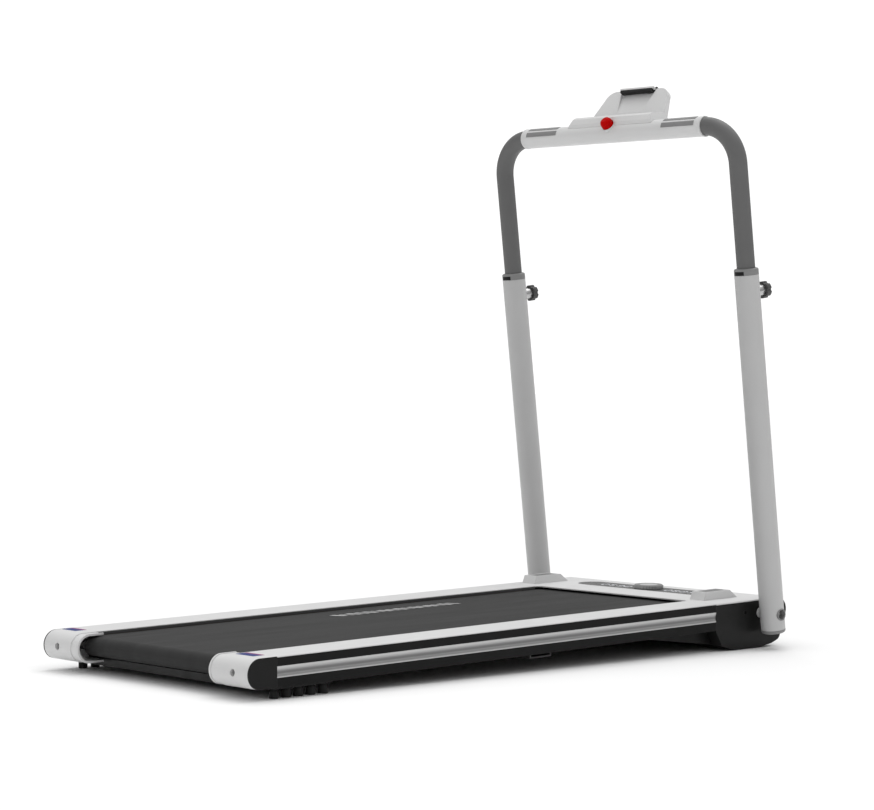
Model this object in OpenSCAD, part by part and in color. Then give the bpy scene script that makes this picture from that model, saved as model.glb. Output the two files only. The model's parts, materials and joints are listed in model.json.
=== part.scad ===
// Folding walking treadmill with a telescopic handrail.
// Millimetres. The row frame has +X to the walker's right, +Y forward and +Z up,
// with its origin on the floor at the middle of the machine.
// Most pieces are drawn in the deck frame: y forward from the rear edge of the end caps,
// z up from the top of the foot rails. The handrail is drawn in its own frame, with the
// fold pivot at the origin and z up along the posts.

/* [Deck] */
// overall width over the side rails
deck_width = 600; // [560:1:640]
// width of each white foot rail
rail_top_width = 85; // [70:1:100]
// height of the side rails
rail_height = 55; // [50:1:60]
// width of the running belt
belt_width = 424; // [400:1:424]
// depth of the belt's surface below the foot rails
belt_drop = 7.2; // [6.8:0.1:7.4]

/* [Stance] */
// depth of the rear rubber pads below the foot rails
rear_drop = 77; // [76:0.1:78]
// depth of the front rubber feet below the foot rails
front_drop = 101.4; // [101:0.1:102]

/* [Handrail] */
// backward lean of the posts from square to the deck, in degrees
post_lean = 7; // [4:0.5:10]
// length of the lower posts above the pivot
post_length = 708; // [700:1:715]
// height of the handlebar above the pivot, along the posts
bar_height = 1016.6; // [980:0.1:1050]
// bend radius of the grip tube
bend_radius = 80; // [75:1:85]
// angle of the safety key above the bar's rear, in degrees
key_angle = 48; // [40:1:60]
// backward slope of the phone holder from the posts, in degrees
holder_lean = 40; // [30:1:50]

/* [Show] */
// one sub-part by name, or all

/* [Hidden] */
$fn = 96;
across = [1, 0, 0];

half_width = deck_width / 2;
rail_start = 62;
rail_end = 1243;
rail_inner = half_width - rail_top_width;
trim_thickness = 1.5;
rail_wall = 3;
box_inner = half_width - 50;
ledge_reach = 28;
ledge_top = -24;
stripe_top = -17;
stripe_bottom = -37;
groove_depth = 1.5;

belt_thickness = 1.8;
belt_clearance = 0.3;
roller_radius = 16;
belt_inner_radius = roller_radius + belt_clearance;
belt_outer_radius = belt_inner_radius + belt_thickness;
roller_z = -(belt_drop + belt_outer_radius);
rear_roller_y = 45;
front_roller_y = 1283;
roller_length = 428;
roller_bore = 13;
axle_radius = 6;
running_fit = 0.05;
board_thickness = 12;
board_top = -belt_drop - belt_thickness - 0.1;

cap_rear = -3;
cap_radius = 27.25;
cap_plate = 3;
mouth_radius = 23.25;
shroud_reach = 23;
shroud_front = 57;
adjuster_x = half_width - 43.5;
adjuster_z = -26;

cover_thickness = 2.5;
housing_wall = 3;
nose = [1448.5, -26.5];
nose_radius = 24;
chin = [1437, -74.6];
chin_radius = 16;
arm_inner = half_width - 46;
arm_outer = half_width - 6;
side_screw = [1337, -24.8];

inlet_x = -150;
switch_x = -100;
switch_tilt = -8;

motor = [1385, -52];
motor_radius = 38;
motor_pulley_radius = 11;
roller_pulley_radius = 20;
pulley_x = -230;
pulley_width = 16;

wheel = [1425, -76];
wheel_radius = 22;
wheel_x = half_width - 65;
wheel_pin = 4;
wheel_width = 18;

foot_y = 1353;
foot_x = half_width - 34;
pad_y = 129;
pad_pitch = 28.5;
pad_count = 5;

display_x = -8;
display_y = 1383;
display_half_length = 194;
display_half_width = 35;
dial_y = 1385;
dial_radius = 31.5;
dial_height = 9;

pod_width = 38;
pod_rear = 1274;
pod_front = 1384;
pod_height = 17;
pod_right_x = half_width - 78;
pod_left_x = 36 - half_width;
pod_middle = 1320;
pod_floor = pod_height - 5;

pivot = [1385.3, -28.1];
post_radius = 25.4;
post_offset = half_width + 32.3;
post_wall = 2;
post_bottom = -32;
foot_end = -40;
grip_radius = 19.05;
grip_wall = 2;
grip_bottom = 480;
collar_gap = 0.3;
collar_height = 14;
bolt_radius = 6;
spacer_radius = 11;
sleeve_radius = 21;
sleeve_half = post_offset - bend_radius;
knob_z = 672;
boss_end = 44;

holder_corner = [46, 29];
plate_thickness = 14;
plate_length = 74;
jaw_bottom = 70;
hinge_in_plate = [plate_thickness / 2, 3];
hinge_half = 60;
hinge_lug = 10;

incline = atan((front_drop - rear_drop) / (foot_y - pad_y));
ride_height = rear_drop * cos(incline) - pad_y * sin(incline);
floor_rear = (cap_rear + cap_radius) * cos(incline) + cap_radius * sin(incline) - cap_radius;
floor_front = nose[0] * cos(incline) - nose[1] * sin(incline) + nose_radius;
floor_middle = (floor_rear + floor_front) / 2;

// ---- placing helpers ----

// deck frame to row frame: the machine stands nose-up on its pads and feet
module on_floor() {
    translate([0, -floor_middle, ride_height])
        rotate([incline, 0, 0])
            children();
}

// handrail frame to row frame
module on_pivot() {
    on_floor()
        translate([0, pivot[0], pivot[1]])
            rotate([post_lean, 0, 0])
                children();
}

module both_sides() {
    children();
    mirror([1, 0, 0])
        children();
}

module block(low, high) {
    translate(low)
        cube(high - low);
}

// a 2D outline in (y, z), made solid from x0 to x1
module along_x(x0, x1) {
    translate([x0, 0, 0])
        rotate([90, 0, 90])
            linear_extrude(x1 - x0)
                children();
}

// a 2D outline in (x, z), made solid from y0 to y1
module along_y(y0, y1) {
    translate([0, y1, 0])
        rotate([90, 0, 0])
            linear_extrude(y1 - y0)
                children();
}

// a round bar parallel to X through the (y, z) point at
module rod_x(at, radius, x0, x1) {
    translate([x0, at[0], at[1]])
        rotate([0, 90, 0])
            cylinder(h = x1 - x0, r = radius);
}

// two circles joined by their outer tangents, as a belt runs round two pulleys
module belt_outline(p1, r1, p2, r2) {
    run = p2 - p1;
    heading = atan2(run[1], run[0]);
    spread = acos((r1 - r2) / norm(run));
    function edge(p, r, side) =
        p + r * [cos(heading + side * spread), sin(heading + side * spread)];
    translate(p1)
        circle(r1);
    translate(p2)
        circle(r2);
    polygon([edge(p1, r1, 1), edge(p2, r2, 1), edge(p2, r2, -1), edge(p1, r1, -1)]);
}

module slot_outline(half_length, half_width_of_slot) {
    centre = half_length - half_width_of_slot;
    square([2 * centre, 2 * half_width_of_slot], center = true);
    for (side = [-1, 1])
        translate([side * centre, 0])
            circle(half_width_of_slot);
}

// removes whatever reaches below the floor
module cut_at_floor() {
    difference() {
        on_floor()
            children();
        block([-deck_width, -2000, -100], [deck_width, 2000, 0]);
    }
}

// ---- side rails ----

module side_rail() {
    along_y(rail_start, rail_end)
        difference() {
            polygon([
                [rail_inner, -trim_thickness],
                [half_width, -trim_thickness],
                [half_width, stripe_top],
                [half_width - groove_depth, stripe_top],
                [half_width - groove_depth, stripe_bottom],
                [half_width, stripe_bottom],
                [half_width, -rail_height],
                [box_inner, -rail_height],
                [box_inner, ledge_top - rail_wall],
                [box_inner - ledge_reach, ledge_top - rail_wall],
                [box_inner - ledge_reach, ledge_top],
                [box_inner, ledge_top],
                [box_inner, -trim_thickness - rail_wall],
                [rail_inner, -trim_thickness - rail_wall]
            ]);
            translate([box_inner + rail_wall, rail_wall - rail_height])
                square([50 - 2 * rail_wall - groove_depth, rail_height - 2 * rail_wall - trim_thickness]);
        }
}

module side_rail_right() {
    color("#1f2022")
        on_floor()
            side_rail();
}

module side_rail_left() {
    color("#1f2022")
        on_floor()
            mirror(across)
                side_rail();
}

module rail_trim() {
    block([rail_inner, rail_start, -trim_thickness], [half_width, rail_end, 0]);
}

module rail_trim_right() {
    color("#dcdedf")
        on_floor()
            rail_trim();
}

module rail_trim_left() {
    color("#dcdedf")
        on_floor()
            mirror(across)
                rail_trim();
}

// dished silver strip pressed into the groove of each rail
module rail_stripes() {
    color("#a5a8ab")
        on_floor()
            both_sides()
                along_y(rail_start, rail_end)
                    polygon([
                        [half_width - groove_depth, stripe_top],
                        [half_width, stripe_top],
                        [half_width, stripe_top - 2],
                        [half_width - 1, stripe_top - 7],
                        [half_width - 1, stripe_bottom + 5],
                        [half_width, stripe_bottom + 2],
                        [half_width, stripe_bottom],
                        [half_width - groove_depth, stripe_bottom]
                    ]);
}

// ---- deck and belt ----

module deck_board() {
    half_board = box_inner - 4;
    color("#6b5a45")
        on_floor()
            block([-half_board, 75, board_top - board_thickness], [half_board, 1215, board_top]);
}

module deck_cushions() {
    color("#2a2a2c")
        on_floor()
            both_sides()
                for (y = [140 : 215 : 1215])
                    translate([235, y, ledge_top])
                        cylinder(h = board_top - board_thickness - ledge_top, r = 9);
}

module mid_cross_member() {
    width = 58;
    drop = 7;
    sheet = 2.5;
    color("#77797c")
        on_floor()
            translate([0, 724, -rail_height])
                along_x(-half_width + 2, half_width - 2)
                    polygon([
                        [-width / 2, 0],
                        [-width / 2, -drop],
                        [width / 2, -drop],
                        [width / 2, 0],
                        [width / 2 - sheet, 0],
                        [width / 2 - sheet, sheet - drop],
                        [sheet - width / 2, sheet - drop],
                        [sheet - width / 2, 0]
                    ]);
}

// low bar behind the deck that ties the two rails together, on a plate at each end
module rear_cross_tube() {
    low = [62.5, -63];
    high = [72.5, -49];
    wall = 2;
    color("#4a4c4f")
        on_floor() {
            along_x(-box_inner, box_inner)
                difference() {
                    translate(low)
                        square(high - low);
                    translate(low + [wall, wall])
                        square(high - low - 2 * [wall, wall]);
                }
            both_sides()
                block([box_inner - 4, low[0], low[1]], [box_inner, low[0] + 30, -38]);
        }
}

module running_belt() {
    rear = [rear_roller_y, roller_z];
    front = [front_roller_y, roller_z];
    color("#3a3b3d")
        on_floor()
            along_x(-belt_width / 2, belt_width / 2)
                difference() {
                    belt_outline(rear, belt_outer_radius, front, belt_outer_radius);
                    belt_outline(rear, belt_inner_radius, front, belt_inner_radius);
                }
}

// a tube with a bearing plug in each end, running on a fixed axle
module roller(at) {
    half = roller_length / 2;
    plug = 14;
    difference() {
        rod_x(at, roller_radius, -half, half);
        rod_x(at, roller_bore, plug - half, half - plug);
        rod_x(at, axle_radius + running_fit, -half - 1, half + 1);
    }
}

module rear_roller() {
    color("#b9bbbd")
        on_floor()
            roller([rear_roller_y, roller_z]);
}

// the axle's ends are cross-drilled for the adjuster bolts
module rear_axle() {
    color("#8d9093")
        on_floor()
            difference() {
                rod_x([rear_roller_y, roller_z], axle_radius, -264, 264);
                both_sides()
                    translate([adjuster_x, 0, adjuster_z])
                        rotate([-90, 0, 0])
                            cylinder(h = 90, r = 4.1);
            }
}

module front_roller() {
    at = [front_roller_y, roller_z];
    color("#b9bbbd")
        on_floor() {
            roller(at);
            difference() {
                rod_x(at, roller_pulley_radius, pulley_x - pulley_width / 2, -roller_length / 2);
                rod_x(at, axle_radius + running_fit, -260, -200);
            }
        }
}

module front_axle() {
    color("#8d9093")
        on_floor()
            rod_x([front_roller_y, roller_z], axle_radius, -262, 262);
}

// ---- rear end caps ----

// half-round at the rear, straight from its middle to the front
module cap_outline(radius, front) {
    middle = cap_rear + cap_radius;
    translate([middle, -cap_radius])
        circle(radius);
    translate([middle, -cap_radius - radius])
        square([front - middle, 2 * radius]);
}

// hollow that the roller's end sits in, open to the front
module cap_mouth(rear) {
    middle = rear + mouth_radius;
    translate([middle, -cap_radius])
        circle(mouth_radius);
    translate([middle, -cap_radius - mouth_radius])
        square([rail_start - middle + 1, 2 * mouth_radius]);
}

module rear_cap() {
    outer = half_width - cap_plate;
    rim = rail_inner - shroud_reach;
    difference() {
        union() {
            along_x(rail_inner, outer)
                cap_outline(cap_radius, rail_start);
            // shroud over the belt's edge: a rim on a slightly smaller neck
            along_x(rim, rail_inner + 1)
                cap_outline(cap_radius - 1.5, shroud_front);
            along_x(rim, rim + 4)
                cap_outline(cap_radius, shroud_front);
        }
        along_x(rim - 1, rail_inner + 4)
            cap_mouth(1.2);
        along_x(rail_inner, 246)
            cap_mouth(21);
        block([245, 34, roller_z - 9], [266, rail_start + 1, roller_z + 9]);
        translate([adjuster_x, cap_rear - 1, adjuster_z])
            rotate([-90, 0, 0])
                cylinder(h = 20, r = 6.5);
        translate([adjuster_x, 0, adjuster_z])
            rotate([-90, 0, 0])
                cylinder(h = 50, r = 4.2);
    }
    // tongue that plugs into the rail's box section
    block([box_inner + 18, rail_start - 1, -45], [half_width - 8, rail_start + 20, -10]);
}

module rear_cap_right() {
    color("#e2e3e4")
        on_floor()
            rear_cap();
}

module rear_cap_left() {
    color("#e2e3e4")
        on_floor()
            mirror(across)
                rear_cap();
}

module rear_cap_plate_right() {
    color("#1c1c1e")
        on_floor()
            along_x(half_width - cap_plate, half_width)
                cap_outline(cap_radius, rail_start);
}

module rear_cap_plate_left() {
    color("#1c1c1e")
        on_floor()
            mirror(across)
                along_x(half_width - cap_plate, half_width)
                    cap_outline(cap_radius, rail_start);
}

module adjuster_bolts() {
    color("#8a8c8f")
        on_floor()
            both_sides()
                translate([adjuster_x, 0, adjuster_z])
                    rotate([-90, 0, 0])
                        difference() {
                            union() {
                                translate([0, 0, 6])
                                    cylinder(h = 10, r = 6);
                                translate([0, 0, 14])
                                    cylinder(h = 44, r = 4);
                            }
                            translate([0, 0, 5])
                                cylinder(h = 6, r = 3.4, $fn = 6);
                        }
}

// a row of rubber studs below the rear of each rail, worn flat to the floor
module rear_pads() {
    radius = 8.5;
    middle = half_width - 22;
    half_run = (pad_count - 1) / 2 * pad_pitch;
    strip = [radius + 3, half_run + radius + 3];
    block(
        [middle - strip[0], pad_y - strip[1], -rail_height - 4],
        [middle + strip[0], pad_y + strip[1], -rail_height]
    );
    for (i = [0 : pad_count - 1])
        translate([middle, pad_y - half_run + i * pad_pitch, 0])
            rotate_extrude($fn = 48)
                polygon([
                    [0, -57],
                    [radius - 1.5, -57],
                    [radius - 1.5, -61],
                    [radius, -63],
                    [radius, -82],
                    [0, -82]
                ]);
}

module rear_pads_right() {
    color("#19191a")
        cut_at_floor()
            rear_pads();
}

module rear_pads_left() {
    color("#19191a")
        cut_at_floor()
            mirror(across)
                rear_pads();
}

// ---- front frame, housing and cover ----

// welded steel: two box arms, two cross tubes and the forks of the transport wheels
module front_frame() {
    color("#4a4c4f")
        on_floor()
            difference() {
                union() {
                    both_sides() {
                        along_y(rail_end - 50, 1446)
                            difference() {
                                translate([arm_inner, -50])
                                    square([arm_outer - arm_inner, 44]);
                                translate([arm_inner + 3, -47])
                                    square([arm_outer - arm_inner - 6, 38]);
                            }
                        // boss that the pivot bolt screws into
                        rod_x(pivot, 13, arm_inner + 1, arm_outer - 1);
                        for (x = [wheel_x - 15, wheel_x + 11])
                            block([x, wheel[0] - 9, wheel[1] - 9], [x + 4, 1440, -20]);
                        rod_x(wheel, wheel_pin, wheel_x - 15, wheel_x + 15);
                    }
                    block([-arm_inner - 1, 1426, -36], [arm_inner + 1, 1444, -10]);
                    block([-arm_outer, 1262, -72], [arm_outer, 1280, -49.5]);
                }
                both_sides() {
                    rod_x(pivot, bolt_radius + 0.1, arm_inner - 1, arm_outer + 1);
                    rod_x([front_roller_y, roller_z], axle_radius + 0.1, arm_inner - 1, arm_inner + 10);
                    rod_x(side_screw, 2.6, arm_outer - 4, arm_outer + 1);
                }
            }
}

module housing_outline(inset) {
    belt_outline(nose, nose_radius - inset, chin, chin_radius - inset);
    polygon([
        [rail_end, -cover_thickness + inset],
        [rail_end, -57 + inset],
        [1262 + inset / 2, -87.6 + inset],
        [1290, -96.5 + inset],
        [1322, -100.4 + inset],
        [1386, -100.6 + inset],
        [1424, -95.4 + inset],
        [chin[0] + 3, chin[1] - chin_radius + inset],
        chin,
        nose,
        [nose[0], -cover_thickness + inset]
    ]);
}

// puts a child on the housing's sloping front face, with z pointing out of the face
module front_face(x) {
    run = chin - nose;
    tilt = atan2(run[1], run[0]) + acos((nose_radius - chin_radius) / norm(run));
    out = [cos(tilt), sin(tilt)];
    middle = (nose + nose_radius * out + chin + chin_radius * out) / 2;
    translate([x, middle[0], middle[1]])
        rotate([tilt - 90, 0, 0])
            children();
}

module front_housing() {
    color("#1d1d1f")
        on_floor()
            difference() {
                along_x(-half_width, half_width)
                    housing_outline(0);
                along_x(housing_wall - half_width, half_width - housing_wall)
                    housing_outline(housing_wall);
                // open top under the cover and open rear where the deck comes in
                block([housing_wall - half_width, rail_end - 1, -30], [half_width - housing_wall, nose[0], 1]);
                block([housing_wall - half_width, rail_end - 1, -57], [half_width - housing_wall, 1264, -3]);
                for (side = [-1, 1]) {
                    // wheel wells, foot sockets, pivot bolts and side screws
                    block([side * wheel_x - 17, wheel[0] - 27, -110], [side * wheel_x + 17, wheel[0] + 26, -66]);
                    translate([side * foot_x, foot_y, -110])
                        cylinder(h = 20, r = 15.2);
                    rod_x(pivot, bolt_radius + 0.3, side * half_width - 5, side * half_width + 5);
                    rod_x(side_screw, 4.75, side * half_width - 5, side * half_width + 5);
                }
                front_face(inlet_x)
                    cube([50, 30, 30], center = true);
                front_face(switch_x)
                    cube([16, 22, 30], center = true);
            }
}

// sloping under-tray between the rails, running back from the motor housing
module belly_pan() {
    rear = [1046, -57.2];
    low = [1261.1, -86.9];
    top = [1242.4, -57.2];
    wall = 2.5;
    side = half_width - 28;
    color("#161617")
        on_floor()
            difference() {
                along_x(-side, side)
                    polygon([rear, low, top]);
                along_x(wall - side, side - wall)
                    polygon([
                        rear + [18, 0],
                        low + [0.1, wall],
                        low + [5, wall],
                        top + [5, 5],
                        rear + [18, 5]
                    ]);
            }
}

module pod_outline(inset) {
    polygon([
        [pod_rear + inset, -1],
        [pod_rear + 8 + inset, pod_height - inset],
        [pod_front - 26 - inset, pod_height - inset],
        [pod_front - inset, -1]
    ]);
}

module pod_body(x) {
    along_x(x - pod_width / 2, x + pod_width / 2)
        pod_outline(0);
}

// shallow pocket in the pod's top that the grille drops into
module pod_pocket(x) {
    translate([x, pod_middle, pod_height - 2])
        linear_extrude(3)
            square([pod_width - 8, 66], center = true);
}

module motor_cover() {
    color("#dcdedf")
        on_floor()
            difference() {
                union() {
                    block([-half_width, rail_end + 0.9, -cover_thickness], [half_width, nose[0], 0]);
                    // lip that follows the nose down
                    along_x(-half_width, half_width)
                        intersection() {
                            difference() {
                                translate(nose)
                                    circle(nose_radius + cover_thickness);
                                translate(nose)
                                    circle(nose_radius);
                            }
                            polygon([nose, nose + [0, 40], nose + [22, 40]]);
                        }
                    pod_body(pod_right_x);
                    pod_body(pod_left_x);
                }
                // rear edge over the belt, with rounded inner corners
                translate([0, rail_end, -5])
                    linear_extrude(6)
                        union() {
                            square([2 * rail_inner - 24, 24], center = true);
                            square([2 * rail_inner, 2.2], center = true);
                            for (side = [-1, 1])
                                translate([side * (rail_inner - 12), 0])
                                    circle(12);
                        }
                for (x = [pod_right_x, pod_left_x]) {
                    pod_pocket(x);
                    along_x(x - pod_width / 2 + 4, x + pod_width / 2 - 4)
                        intersection() {
                            pod_outline(5);
                            translate([pod_rear, -3])
                                square([pod_front - pod_rear, pod_floor + 3]);
                        }
                    translate([x, pod_middle, -3])
                        cylinder(h = pod_height + 2, r = 10);
                }
                translate([display_x, display_y, -5])
                    linear_extrude(6)
                        slot_outline(display_half_length, display_half_width);
            }
}

module speaker_grille(x) {
    on_floor()
        difference() {
            translate([x, pod_middle, pod_height - 2])
                linear_extrude(1)
                    square([pod_width - 8.4, 65.6], center = true);
            for (row = [-3 : 3], hole = [-7 : 7])
                translate([x + row * 3.6, pod_middle + hole * 4, pod_height - 3])
                    cylinder(h = 4, r = 0.9, $fn = 16);
        }
}

module speaker_grille_right() {
    color("#77797b")
        speaker_grille(pod_right_x);
}

module speaker_grille_left() {
    color("#77797b")
        speaker_grille(pod_left_x);
}

// small round drivers hung under the pods' tops
module speaker_drivers() {
    color("#2b2c2e")
        on_floor()
            for (x = [pod_right_x, pod_left_x])
                translate([x, pod_middle, pod_floor])
                    rotate_extrude()
                        polygon([[0, -10], [6, -10], [12.5, -2], [12.5, 0], [10, 0], [4, -6], [0, -6]]);
}

module display_lens() {
    color("#85888b")
        on_floor()
            translate([display_x, display_y, -2.2])
                difference() {
                    linear_extrude(2.2)
                        slot_outline(display_half_length - 0.2, display_half_width - 0.2);
                    translate([0, dial_y - display_y, -1])
                        cylinder(h = 5, r = 4.4);
                }
}

// a thin circuit board carrying two rows of light segments
module display_board() {
    color("#2c5a3a")
        on_floor()
            difference() {
                union() {
                    translate([display_x, display_y, -3.1])
                        cube([300, 48, 1.4], center = true);
                    for (side = [-1, 1], digit = [0 : 3])
                        translate([display_x + side * (58 + digit * 22), display_y, -2.5])
                            linear_extrude(0.2)
                                square([16, 26], center = true);
                }
                translate([display_x, dial_y, -6])
                    cylinder(h = 8, r = 6);
            }
}

// ---- drive ----

module motor_can() {
    color("#3d3f42")
        on_floor()
            difference() {
                union() {
                    rod_x(motor, motor_radius, -200, -76);
                    rod_x(motor, 12, -204, -72);
                }
                rod_x(motor, motor_radius - 4, -194, -82);
                rod_x(motor, 5 + running_fit, -210, -60);
            }
}

// armature, shaft and belt pulley turn as one
module motor_rotor() {
    color("#9c6b3c")
        on_floor() {
            rod_x(motor, 30, -186, -92);
            rod_x(motor, 5, -242, -66);
            rod_x(motor, motor_pulley_radius, pulley_x - pulley_width / 2, pulley_x + pulley_width / 2);
        }
}

module motor_bracket() {
    plate = -204.2;
    color("#5c5f62")
        on_floor()
            difference() {
                union() {
                    block([plate - 5, motor[0] - 35, -90], [plate, motor[0] + 35, -14]);
                    block([plate - 5, motor[0] - 40, -97], [plate + 126, motor[0] + 3, -93]);
                    block([plate - 5, motor[0] - 35, -94], [plate, motor[0] + 3, -89]);
                }
                rod_x(motor, 12.2, plate - 10, plate + 10);
            }
}

module drive_belt() {
    roller_centre = [front_roller_y, roller_z];
    gap = 0.3;
    thick = 2.2;
    color("#141415")
        on_floor()
            along_x(pulley_x - 7, pulley_x + 7)
                difference() {
                    belt_outline(
                        roller_centre, roller_pulley_radius + gap + thick,
                        motor, motor_pulley_radius + gap + thick
                    );
                    belt_outline(
                        roller_centre, roller_pulley_radius + gap,
                        motor, motor_pulley_radius + gap
                    );
                }
}

// motor controller: board, finned heat sink and two round capacitors
module control_board() {
    base = -96.5;
    color("#2f6b43")
        on_floor() {
            block([10, 1325, base], [190, 1388, base + 3]);
            block([30, 1332, base + 2], [122, 1358, base + 25]);
            for (i = [0 : 8])
                block([31 + i * 10, 1332, base + 24], [35 + i * 10, 1358, base + 40]);
            for (x = [145, 170])
                translate([x, 1370, base + 2])
                    cylinder(h = 34, r = 10);
        }
}

module power_inlet() {
    color("#101011")
        on_floor()
            front_face(inlet_x)
                difference() {
                    union() {
                        translate([0, 0, -8.5])
                            cube([49.4, 29.4, 19], center = true);
                        translate([0, 0, 1.05])
                            cube([56, 36, 2], center = true);
                    }
                    translate([0, 0, -4])
                        cube([25, 17, 22], center = true);
                    for (side = [-1, 1])
                        translate([side * 22, 0, -14])
                            cylinder(h = 20, r = 1.7, $fn = 24);
                }
}

// rocker that turns about the face's own line, resting on one side
module power_switch() {
    color("#b3201f")
        on_floor()
            front_face(switch_x)
                rotate([switch_tilt, 0, 0])
                    intersection() {
                        rod_x([0, 0], 12, -7.5, 7.5);
                        translate([0, 0, -4.5])
                            cube([15, 20, 15], center = true);
                    }
}

// ---- feet, wheels and fixings ----

module front_feet() {
    color("#19191a")
        cut_at_floor()
            both_sides()
                translate([foot_x, foot_y, -104])
                    cylinder(h = 7, r = 15);
}

module transport_wheel() {
    half = wheel_width / 2;
    difference() {
        rod_x(wheel, wheel_radius, wheel_x - half, wheel_x + half);
        rod_x(wheel, wheel_pin + running_fit, wheel_x - half - 1, wheel_x + half + 1);
    }
}

module transport_wheel_right() {
    color("#2a2a2c")
        on_floor()
            transport_wheel();
}

module transport_wheel_left() {
    color("#2a2a2c")
        on_floor()
            mirror(across)
                transport_wheel();
}

module pivot_bolts() {
    head = post_offset + 10;
    color("#55585b")
        on_floor()
            both_sides()
                difference() {
                    union() {
                        rod_x(pivot, bolt_radius, arm_inner + 3, head + 1);
                        rod_x(pivot, 9, head, head + 6);
                    }
                    translate([head + 3, pivot[0], pivot[1]])
                        rotate([0, 90, 0])
                            cylinder(h = 5, r = 5, $fn = 6);
                }
}

module pivot_spacers() {
    color("#b4b6b8")
        on_floor()
            both_sides()
                difference() {
                    rod_x(pivot, spacer_radius, half_width, post_offset - post_radius - 0.3);
                    rod_x(pivot, bolt_radius + 0.1, half_width - 1, post_offset);
                }
}

module housing_screws() {
    color("#2d2e30")
        on_floor()
            both_sides() {
                rod_x(side_screw, 4.2, arm_outer + 0.1, arm_outer + 3.4);
                rod_x(side_screw, 2.5, arm_outer - 2.6, arm_outer + 1);
            }
}

module speed_dial() {
    rim = 2;
    color("#8e9194")
        on_floor()
            translate([display_x, dial_y, 0])
                rotate_extrude()
                    polygon([
                        [0, -2.2],
                        [4, -2.2],
                        [4, 0.4],
                        [dial_radius, 0.4],
                        [dial_radius, dial_height - rim],
                        [dial_radius - rim, dial_height],
                        [dial_radius - 9, dial_height],
                        [dial_radius - 11, dial_height - 1],
                        [0, dial_height - 1]
                    ]);
}

// ---- handrail: lower posts ----

module lower_post() {
    translate([post_offset, 0, 0])
        difference() {
            translate([0, 0, post_bottom])
                cylinder(h = post_length - post_bottom, r = post_radius);
            translate([0, 0, post_bottom - 1])
                cylinder(h = post_length - post_bottom + 2, r = post_radius - post_wall);
            // inner pivot hole, outer recess and the lock pin's hole
            rotate([0, 90, 0]) {
                translate([0, 0, -30])
                    cylinder(h = 20, r = bolt_radius + 1);
                translate([0, 0, 10])
                    cylinder(h = 20, r = 12.6);
            }
            translate([0, 10, knob_z])
                rotate([-90, 0, 0])
                    cylinder(h = 20, r = 5);
        }
}

module lower_post_right() {
    color("#b8babc")
        on_pivot()
            lower_post();
}

module lower_post_left() {
    color("#b8babc")
        on_pivot()
            mirror(across)
                lower_post();
}

// moulded plug in the post's lower end; it carries the pivot bore
module post_foot() {
    inside = post_radius - post_wall;
    edge = 6;
    translate([post_offset, 0, 0])
        difference() {
            union() {
                rotate_extrude()
                    union() {
                        translate([0, post_bottom])
                            square([inside, 62]);
                        translate([0, foot_end])
                            square([post_radius - edge, 8]);
                        translate([0, foot_end + edge])
                            square([post_radius, -foot_end + post_bottom - edge]);
                        intersection() {
                            translate([post_radius - edge, foot_end + edge])
                                circle(edge);
                            translate([0, foot_end])
                                square([post_radius, edge]);
                        }
                    }
                rotate([0, 90, 0])
                    translate([0, 0, 12])
                        cylinder(h = 13.8, r = 12.5);
            }
            rotate([0, 90, 0]) {
                translate([0, 0, -30])
                    cylinder(h = 60, r = bolt_radius + running_fit);
                translate([0, 0, 9.7])
                    cylinder(h = 20, r = 10.2);
            }
        }
}

module post_foot_right() {
    color("#a4a6a8")
        on_pivot()
            post_foot();
}

module post_foot_left() {
    color("#a4a6a8")
        on_pivot()
            mirror(across)
                post_foot();
}

// grey bushes at the top of the posts that the grip tube slides through
module post_collars() {
    bore = grip_radius + collar_gap;
    edge = 4;
    color("#8b8d90")
        on_pivot()
            both_sides()
                translate([post_offset, 0, post_length])
                    rotate_extrude()
                        difference() {
                            union() {
                                translate([bore, -18])
                                    square([post_radius - post_wall - bore, 19]);
                                translate([bore, 0])
                                    square([post_radius - bore, collar_height - edge]);
                                translate([bore, 0])
                                    square([post_radius - bore - edge, collar_height]);
                                intersection() {
                                    translate([post_radius - edge, collar_height - edge])
                                        circle(edge);
                                    translate([bore, 0])
                                        square([post_radius - bore, collar_height]);
                                }
                            }
                            translate([0, -30])
                                square([bore, 60]);
                        }
}

// threaded bosses welded to the front of the posts
module knob_bosses() {
    color("#a4a6a8")
        on_pivot()
            both_sides()
                translate([post_offset, 0, knob_z])
                    difference() {
                        rotate([-90, 0, 0])
                            cylinder(h = boss_end, r = 12);
                        translate([0, 0, -20])
                            cylinder(h = 40, r = post_radius);
                        rotate([-90, 0, 0])
                            cylinder(h = boss_end + 1, r = 4.3);
                    }
}

// star knob with a small round cap; its pin drops into the grip tube's holes
module lock_knob() {
    lobes = 6;
    star_thickness = 13;
    translate([post_offset, 0, knob_z])
        rotate([-90, 0, 0]) {
            translate([0, 0, boss_end + 0.3])
                linear_extrude(star_thickness)
                    difference() {
                        circle(17.5);
                        for (i = [0 : lobes - 1])
                            rotate(i * 360 / lobes)
                                translate([19.5, 0])
                                    circle(4.5, $fn = 48);
                    }
            translate([0, 0, boss_end + star_thickness])
                cylinder(h = 9, r = 6);
            translate([0, 0, 20])
                cylinder(h = boss_end - 18, r = 4);
        }
}

module lock_knob_right() {
    color("#4b4d50")
        on_pivot()
            lock_knob();
}

module lock_knob_left() {
    color("#4b4d50")
        on_pivot()
            mirror(across)
                lock_knob();
}

// ---- handrail: bent grip tube and handlebar ----

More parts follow.
